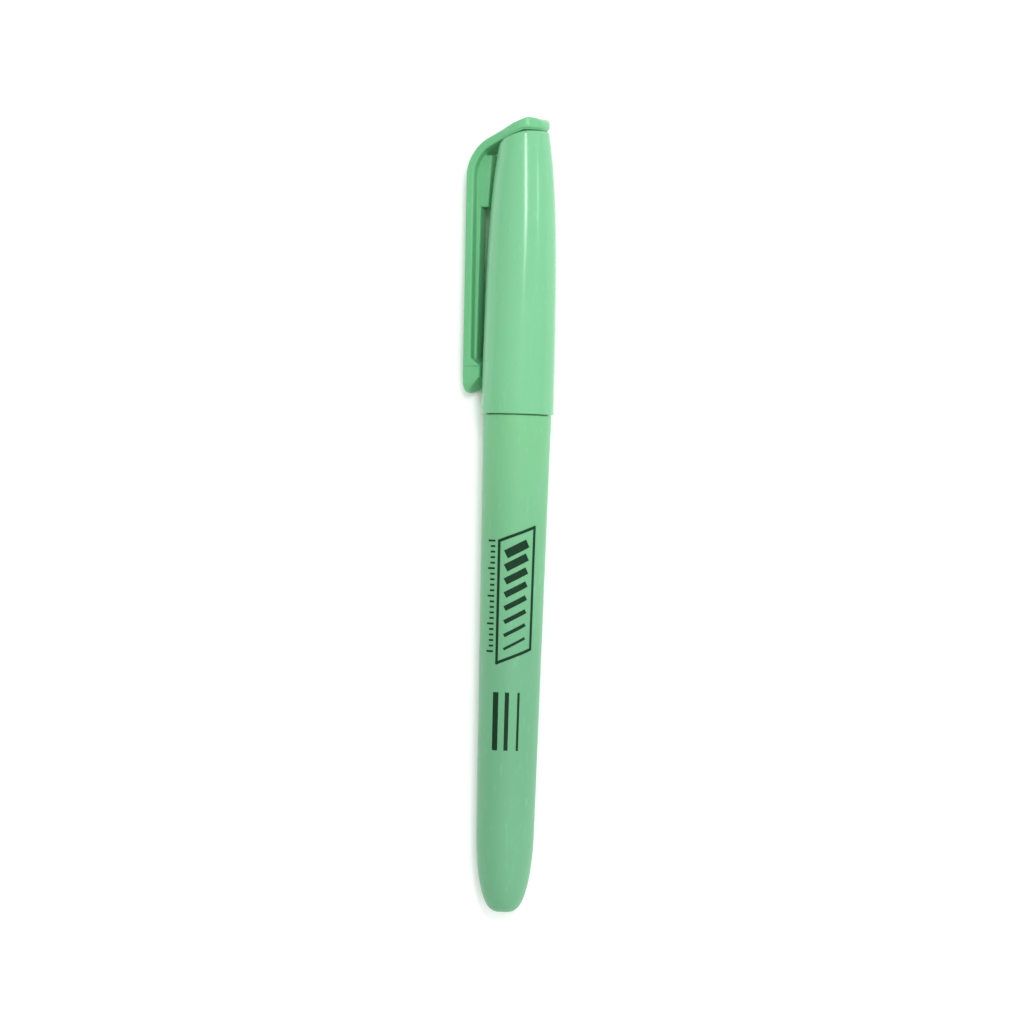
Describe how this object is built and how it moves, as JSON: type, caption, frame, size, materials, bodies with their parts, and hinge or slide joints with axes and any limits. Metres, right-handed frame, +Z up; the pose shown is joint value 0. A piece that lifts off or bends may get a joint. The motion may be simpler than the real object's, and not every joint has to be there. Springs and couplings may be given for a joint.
{
  "type": "highlighter",
  "caption": "Slim pocket highlighter with a push-on cap, a sprung pocket clip, a felt chisel nib and a fibre ink reservoir, lying on its side.",
  "frame": {"origin": "on the surface that the pen lies on, under the middle of its bounding box", "axes": "X along the pen's axis, +X towards the tail; +Z up; the clip points towards -Y and 28 degrees down"},
  "size_m": [0.137, 0.0164, 0.0133],
  "materials": {
    "barrel_plastic": "satin pastel green polypropylene",
    "cap_plastic": "glossy pastel green polypropylene",
    "holder_plastic": "glossy pastel green moulding",
    "inner_cap_plastic": "natural polyethylene",
    "nib_felt": "bonded polyester fibre soaked with ink",
    "reservoir_fibre": "bundled polyester fibre soaked with ink",
    "reservoir_wrap": "thin clear film"
  },
  "bodies": {
    "pen": {"barrel": "barrel_plastic", "nib_holder": "holder_plastic", "nib": "nib_felt", "reservoir": "reservoir_fibre", "reservoir_film": "reservoir_wrap"},
    "inner_cap": {"inner_cap": "inner_cap_plastic"},
    "cap": {"cap_shell": "cap_plastic", "clip_root": "cap_plastic"},
    "clip": {"clip_arm": "cap_plastic"}
  },
  "joints": [
    {"name": "cap_pull", "type": "slide", "parent": "pen", "child": "inner_cap", "axis": [-1, 0, 0], "range_m": [0, 0.04]},
    {"name": "cap_twist", "type": "hinge", "parent": "inner_cap", "child": "cap", "pos_m": [-0.0174, 0.0019, 0.00696], "axis": [-1, 0, 0], "continuous": true},
    {"name": "clip_flex", "type": "hinge", "parent": "cap", "child": "clip", "pos_m": [-0.06438, -0.00286, 0.00442], "axis": [0, 0.4695, -0.8829], "range_deg": [0, 6], "stiffness_Nm_per_rad": 1.5}
  ]
}
